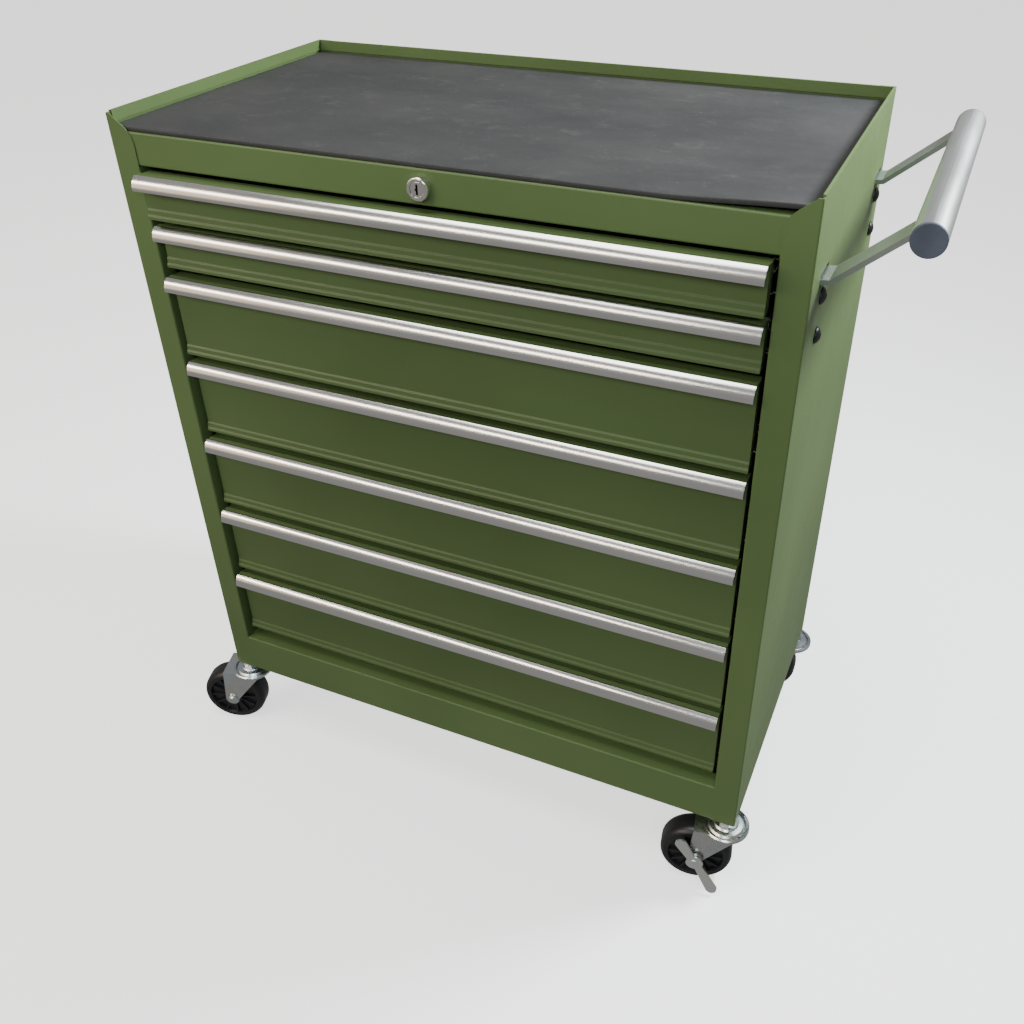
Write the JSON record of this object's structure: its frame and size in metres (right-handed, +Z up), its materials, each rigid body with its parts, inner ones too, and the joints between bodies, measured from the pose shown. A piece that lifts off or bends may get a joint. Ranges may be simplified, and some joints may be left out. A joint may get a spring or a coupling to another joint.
{
  "type": "rolling tool chest",
  "caption": "Olive steel tool chest on swivel casters: ball-slide drawers with aluminium pulls, matted tray top with lock, and a steel push handle on one side.",
  "frame": {"origin": "on the floor, under the middle of the whole object as it stands", "axes": "+Z up; the drawers open towards -Y; the push handle is on the +X side"},
  "size_m": [0.751, 0.3646, 0.738],
  "materials": {
    "olive_paint": "satin olive green powder coat",
    "drawer_paint": "satin olive green powder coat",
    "mat_rubber": "matt dark grey ribbed rubber",
    "pull_aluminium": "brushed anodised",
    "slide_zinc": "bright zinc plate",
    "cage_steel": "plain steel",
    "tube_steel": "brushed stainless",
    "arm_steel": "satin steel",
    "cap_plastic": "black moulded plastic",
    "screw_black": "black oxide",
    "lock_chrome": "polished chrome",
    "caster_zinc": "bright zinc plate",
    "brake_zinc": "bright zinc plate",
    "wheel_plastic": "black moulded polypropylene"
  },
  "bodies": {
    "cabinet": {"side_panel_left": "olive_paint", "side_panel_right": "olive_paint", "back_panel": "olive_paint", "top_tray": "olive_paint", "bottom_rail": "olive_paint", "floor_pan": "olive_paint", "corner_plates": "olive_paint", "slide_posts": "olive_paint", "tray_mat": "mat_rubber", "outer_rails": "slide_zinc", "handle_tube": "tube_steel", "handle_end_caps": "cap_plastic", "handle_arms": "arm_steel", "handle_screws": "screw_black", "lock_housing": "lock_chrome", "lock_guides": "slide_zinc", "caster_stems": "caster_zinc", "caster_upper_races": "caster_zinc"},
    "drawer_1": {"drawer_1_body": "drawer_paint", "drawer_1_pull": "pull_aluminium", "drawer_1_runners": "slide_zinc"},
    "cages_1": {"drawer_1_ball_cages": "cage_steel"},
    "drawer_2": {"drawer_2_body": "drawer_paint", "drawer_2_pull": "pull_aluminium", "drawer_2_runners": "slide_zinc"},
    "cages_2": {"drawer_2_ball_cages": "cage_steel"},
    "drawer_3": {"drawer_3_body": "drawer_paint", "drawer_3_pull": "pull_aluminium", "drawer_3_runners": "slide_zinc"},
    "cages_3": {"drawer_3_ball_cages": "cage_steel"},
    "drawer_4": {"drawer_4_body": "drawer_paint", "drawer_4_pull": "pull_aluminium", "drawer_4_runners": "slide_zinc"},
    "cages_4": {"drawer_4_ball_cages": "cage_steel"},
    "drawer_5": {"drawer_5_body": "drawer_paint", "drawer_5_pull": "pull_aluminium", "drawer_5_runners": "slide_zinc"},
    "cages_5": {"drawer_5_ball_cages": "cage_steel"},
    "drawer_6": {"drawer_6_body": "drawer_paint", "drawer_6_pull": "pull_aluminium", "drawer_6_runners": "slide_zinc"},
    "cages_6": {"drawer_6_ball_cages": "cage_steel"},
    "drawer_7": {"drawer_7_body": "drawer_paint", "drawer_7_pull": "pull_aluminium", "drawer_7_runners": "slide_zinc"},
    "cages_7": {"drawer_7_ball_cages": "cage_steel"},
    "lock_plug": {"lock_plug": "lock_chrome", "lock_shaft": "slide_zinc"},
    "lock_bar": {"lock_bar": "slide_zinc"},
    "swivel_front_left": {"caster_fork_front_left": "caster_zinc"},
    "wheel_front_left": {"caster_wheel_front_left": "wheel_plastic"},
    "swivel_front_right": {"caster_fork_front_right": "caster_zinc"},
    "wheel_front_right": {"caster_wheel_front_right": "wheel_plastic"},
    "brake_front_right": {"brake_lever_front_right": "brake_zinc"},
    "swivel_rear_left": {"caster_fork_rear_left": "caster_zinc"},
    "wheel_rear_left": {"caster_wheel_rear_left": "wheel_plastic"},
    "swivel_rear_right": {"caster_fork_rear_right": "caster_zinc"},
    "wheel_rear_right": {"caster_wheel_rear_right": "wheel_plastic"},
    "brake_rear_right": {"brake_lever_rear_right": "brake_zinc"}
  },
  "joints": [
    {"name": "drawer_1_slide", "type": "slide", "parent": "cabinet", "child": "drawer_1", "axis": [0, -1, 0], "range_m": [-0.014, 0.196]},
    {"name": "cages_1_slide", "type": "slide", "parent": "cabinet", "child": "cages_1", "axis": [0, -1, 0], "range_m": [-0.007, 0.098]},
    {"name": "drawer_2_slide", "type": "slide", "parent": "cabinet", "child": "drawer_2", "axis": [0, -1, 0], "range_m": [-0.004, 0.206]},
    {"name": "cages_2_slide", "type": "slide", "parent": "cabinet", "child": "cages_2", "axis": [0, -1, 0], "range_m": [-0.002, 0.103]},
    {"name": "drawer_3_slide", "type": "slide", "parent": "cabinet", "child": "drawer_3", "axis": [0, -1, 0], "range_m": [-0.004, 0.206]},
    {"name": "cages_3_slide", "type": "slide", "parent": "cabinet", "child": "cages_3", "axis": [0, -1, 0], "range_m": [-0.002, 0.103]},
    {"name": "drawer_4_slide", "type": "slide", "parent": "cabinet", "child": "drawer_4", "axis": [0, -1, 0], "range_m": [0, 0.21]},
    {"name": "cages_4_slide", "type": "slide", "parent": "cabinet", "child": "cages_4", "axis": [0, -1, 0], "range_m": [0, 0.105]},
    {"name": "drawer_5_slide", "type": "slide", "parent": "cabinet", "child": "drawer_5", "axis": [0, -1, 0], "range_m": [0, 0.21]},
    {"name": "cages_5_slide", "type": "slide", "parent": "cabinet", "child": "cages_5", "axis": [0, -1, 0], "range_m": [0, 0.105]},
    {"name": "drawer_6_slide", "type": "slide", "parent": "cabinet", "child": "drawer_6", "axis": [0, -1, 0], "range_m": [0, 0.21]},
    {"name": "cages_6_slide", "type": "slide", "parent": "cabinet", "child": "cages_6", "axis": [0, -1, 0], "range_m": [0, 0.105]},
    {"name": "drawer_7_slide", "type": "slide", "parent": "cabinet", "child": "drawer_7", "axis": [0, -1, 0], "range_m": [0, 0.21]},
    {"name": "cages_7_slide", "type": "slide", "parent": "cabinet", "child": "cages_7", "axis": [0, -1, 0], "range_m": [0, 0.105]},
    {"name": "lock_turn", "type": "hinge", "parent": "cabinet", "child": "lock_plug", "pos_m": [-0.01348, -0.16114, 0.7079], "axis": [0, 1, 0], "range_deg": [0, 90]},
    {"name": "lock_bar_lift", "type": "slide", "parent": "cabinet", "child": "lock_bar", "axis": [0, 0, 1], "range_m": [0, 0.01131]},
    {"name": "swivel_front_left_turn", "type": "hinge", "parent": "cabinet", "child": "swivel_front_left", "pos_m": [-0.31078, -0.14944, 0.078], "axis": [0, 0, 1], "continuous": true},
    {"name": "wheel_front_left_roll", "type": "hinge", "parent": "swivel_front_left", "child": "wheel_front_left", "pos_m": [-0.33689, -0.15742, 0.0375], "axis": [0.2924, -0.9563, 0], "continuous": true},
    {"name": "swivel_front_right_turn", "type": "hinge", "parent": "cabinet", "child": "swivel_front_right", "pos_m": [0.28382, -0.14944, 0.078], "axis": [0, 0, 1], "continuous": true},
    {"name": "wheel_front_right_roll", "type": "hinge", "parent": "swivel_front_right", "child": "wheel_front_right", "pos_m": [0.25702, -0.15465, 0.0375], "axis": [0.1908, -0.9816, 0], "continuous": true},
    {"name": "brake_front_right_tilt", "type": "hinge", "parent": "swivel_front_right", "child": "brake_front_right", "pos_m": [0.25702, -0.15465, 0.0375], "axis": [0.1908, -0.9816, 0], "range_deg": [0, 35]},
    {"name": "swivel_rear_left_turn", "type": "hinge", "parent": "cabinet", "child": "swivel_rear_left", "pos_m": [-0.31078, 0.15516, 0.078], "axis": [0, 0, 1], "continuous": true},
    {"name": "wheel_rear_left_roll", "type": "hinge", "parent": "swivel_rear_left", "child": "wheel_rear_left", "pos_m": [-0.33748, 0.16084, 0.0375], "axis": [-0.2079, -0.9781, 0], "continuous": true},
    {"name": "swivel_rear_right_turn", "type": "hinge", "parent": "cabinet", "child": "swivel_rear_right", "pos_m": [0.28382, 0.15516, 0.078], "axis": [0, 0, 1], "continuous": true},
    {"name": "wheel_rear_right_roll", "type": "hinge", "parent": "swivel_rear_right", "child": "wheel_rear_right", "pos_m": [0.25656, 0.15373, 0.0375], "axis": [0.0523, -0.9986, 0], "continuous": true},
    {"name": "brake_rear_right_tilt", "type": "hinge", "parent": "swivel_rear_right", "child": "brake_rear_right", "pos_m": [0.25656, 0.15373, 0.0375], "axis": [0.0523, -0.9986, 0], "range_deg": [0, 35]}
  ],
  "couplings": [
    {"joint": "cages_1_slide", "follows": "drawer_1_slide", "ratio": 0.5},
    {"joint": "cages_2_slide", "follows": "drawer_2_slide", "ratio": 0.5},
    {"joint": "cages_3_slide", "follows": "drawer_3_slide", "ratio": 0.5},
    {"joint": "cages_4_slide", "follows": "drawer_4_slide", "ratio": 0.5},
    {"joint": "cages_5_slide", "follows": "drawer_5_slide", "ratio": 0.5},
    {"joint": "cages_6_slide", "follows": "drawer_6_slide", "ratio": 0.5},
    {"joint": "cages_7_slide", "follows": "drawer_7_slide", "ratio": 0.5},
    {"joint": "lock_turn", "follows": "lock_bar_lift", "rad_per_m": 138.84}
  ]
}
